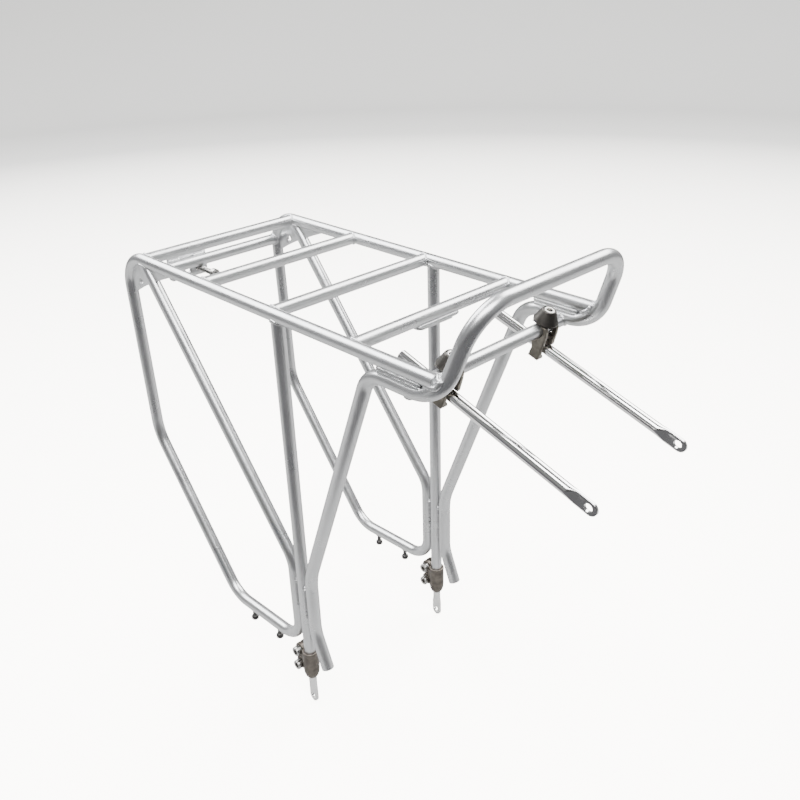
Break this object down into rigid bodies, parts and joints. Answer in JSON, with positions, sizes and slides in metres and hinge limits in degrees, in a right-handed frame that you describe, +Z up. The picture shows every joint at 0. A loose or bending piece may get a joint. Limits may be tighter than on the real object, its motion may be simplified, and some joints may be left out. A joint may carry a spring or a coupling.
{
  "type": "rear rack",
  "caption": "Tubular steel rear bicycle rack with a slatted deck, pannier side loops, a raised front hoop, adjustable feet and two sliding stays.",
  "frame": {"origin": "midway between the two foot eyelet holes, on the line of the bolts that hold the rack to the bicycle", "axes": "+X forward, towards the rider; +Y to the bicycle's left; +Z up; the deck lies level"},
  "size_m": [0.4654, 0.1723, 0.4198],
  "materials": {
    "frame_paint": "satin silver metallic paint over welded steel tube",
    "stainless": "polished stainless steel",
    "cast_steel": "warm grey cast clamps, satin",
    "dark_cast": "darker cast clamp caps, satin",
    "bolt_steel": "stainless socket-head screws and pegs"
  },
  "bodies": {
    "frame": {"hoop_tube": "frame_paint", "crossbar_rear": "frame_paint", "crossbar_second": "frame_paint", "crossbar_third": "frame_paint", "crossbar_front": "frame_paint", "rear_lower_tube": "frame_paint", "front_lower_tube": "frame_paint", "light_plate": "frame_paint", "fender_tab": "frame_paint", "light_bolt": "bolt_steel", "side_loop_right": "frame_paint", "main_leg_right": "frame_paint", "tie_strip_right": "frame_paint", "rear_gusset_right": "frame_paint", "front_gusset_right": "frame_paint", "peg_rear_right": "bolt_steel", "peg_front_right": "bolt_steel", "leg_clamp_right": "cast_steel", "leg_clamp_bolt_lower_right": "bolt_steel", "leg_clamp_bolt_upper_right": "bolt_steel", "side_loop_left": "frame_paint", "main_leg_left": "frame_paint", "tie_strip_left": "frame_paint", "rear_gusset_left": "frame_paint", "front_gusset_left": "frame_paint", "peg_rear_left": "bolt_steel", "peg_front_left": "bolt_steel", "leg_clamp_left": "cast_steel", "leg_clamp_bolt_lower_left": "bolt_steel", "leg_clamp_bolt_upper_left": "bolt_steel"},
    "foot_right": {"foot_strut_right": "stainless"},
    "clamp_right": {"stay_clamp_fork_right": "cast_steel", "stay_clamp_cap_right": "dark_cast", "stay_clamp_screw_right": "bolt_steel", "stay_clamp_shim_right": "cast_steel"},
    "stay_right": {"stay_right": "stainless"},
    "foot_left": {"foot_strut_left": "stainless"},
    "clamp_left": {"stay_clamp_fork_left": "cast_steel", "stay_clamp_cap_left": "dark_cast", "stay_clamp_screw_left": "bolt_steel", "stay_clamp_shim_left": "cast_steel"},
    "stay_left": {"stay_left": "stainless"}
  },
  "joints": [
    {"name": "foot_slide_right", "type": "slide", "parent": "frame", "child": "foot_right", "axis": [0, 0, 1], "range_m": [-0.035, 0.006]},
    {"name": "stay_clamp_tilt_right", "type": "hinge", "parent": "frame", "child": "clamp_right", "pos_m": [0.1277, -0.043, 0.343], "axis": [0, 1, 0], "range_deg": [-35, 12]},
    {"name": "stay_slide_right", "type": "slide", "parent": "clamp_right", "child": "stay_right", "axis": [0.9521, 0, -0.3057], "range_m": [-0.004, 0.028]},
    {"name": "foot_slide_left", "type": "slide", "parent": "frame", "child": "foot_left", "axis": [0, 0, 1], "range_m": [-0.035, 0.006]},
    {"name": "stay_clamp_tilt_left", "type": "hinge", "parent": "frame", "child": "clamp_left", "pos_m": [0.1277, 0.055, 0.343], "axis": [0, 1, 0], "range_deg": [-35, 12]},
    {"name": "stay_slide_left", "type": "slide", "parent": "clamp_left", "child": "stay_left", "axis": [0.9521, 0, -0.3057], "range_m": [-0.004, 0.028]}
  ]
}
